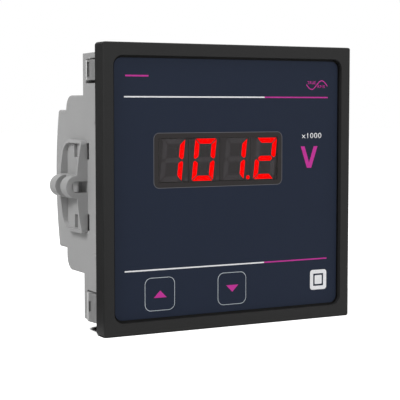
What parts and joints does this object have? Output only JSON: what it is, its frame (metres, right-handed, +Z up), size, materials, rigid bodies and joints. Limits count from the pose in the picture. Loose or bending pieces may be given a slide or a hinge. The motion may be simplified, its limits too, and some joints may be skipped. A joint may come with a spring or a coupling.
{
  "type": "digital panel meter",
  "caption": "Square panel-mounted digital meter with a sunk printed front, red seven-segment readout, two film keys, stepped grey housing, side clamp brackets and rear screw terminals.",
  "frame": {"origin": "centre of the bezel's rear face, in the plane of the panel's front", "axes": "+Y points from the front into the panel, +X to the right seen from the front, +Z up"},
  "size_m": [0.1064, 0.053, 0.096],
  "materials": {
    "black_plastic": "satin",
    "printed_film": "satin",
    "smoked_window": "gloss",
    "digit_body": "matte",
    "lit_segment": "gloss",
    "dark_segment": "satin",
    "circuit_board": "satin",
    "plated_steel": "satin",
    "key_plastic": "satin",
    "switch_body": "satin",
    "housing_grey": "satin",
    "bracket_grey": "satin",
    "contact_metal": "satin",
    "core_steel": "satin",
    "winding": "satin",
    "capacitor_can": "satin",
    "resistor_body": "gloss",
    "terminal_plastic": "satin"
  },
  "bodies": {
    "case": {"bezel": "black_plastic", "front_overlay": "printed_film", "display_window": "smoked_window", "digit_1_case": "digit_body", "digit_2_case": "digit_body", "digit_3_case": "digit_body", "digit_4_case": "digit_body", "lit_segments": "lit_segment", "dark_segments": "dark_segment", "display_board": "circuit_board", "display_board_screws": "plated_steel", "up_key_switch": "switch_body", "down_key_switch": "switch_body", "housing": "housing_grey", "rear_cover": "housing_grey", "main_board": "circuit_board", "main_board_screws": "plated_steel", "pin_header": "contact_metal", "header_socket": "key_plastic", "transformer_core": "core_steel", "transformer_bobbin": "winding", "supply_capacitor": "capacitor_can", "converter_chip": "key_plastic", "input_resistors": "resistor_body", "terminal_block": "terminal_plastic", "terminal_plates": "plated_steel", "terminal_clamps": "plated_steel", "terminal_screws": "plated_steel", "left_bracket": "bracket_grey", "right_bracket": "bracket_grey"},
    "up_key": {"up_key_plunger": "key_plastic", "up_key_stem": "key_plastic"},
    "down_key": {"down_key_plunger": "key_plastic", "down_key_stem": "key_plastic"}
  },
  "joints": [
    {"name": "up_key_press", "type": "slide", "parent": "case", "child": "up_key", "axis": [0, 1, 0], "range_m": [0, 0.00025], "stiffness_N_per_m": 3000},
    {"name": "down_key_press", "type": "slide", "parent": "case", "child": "down_key", "axis": [0, 1, 0], "range_m": [0, 0.00025], "stiffness_N_per_m": 3000}
  ]
}
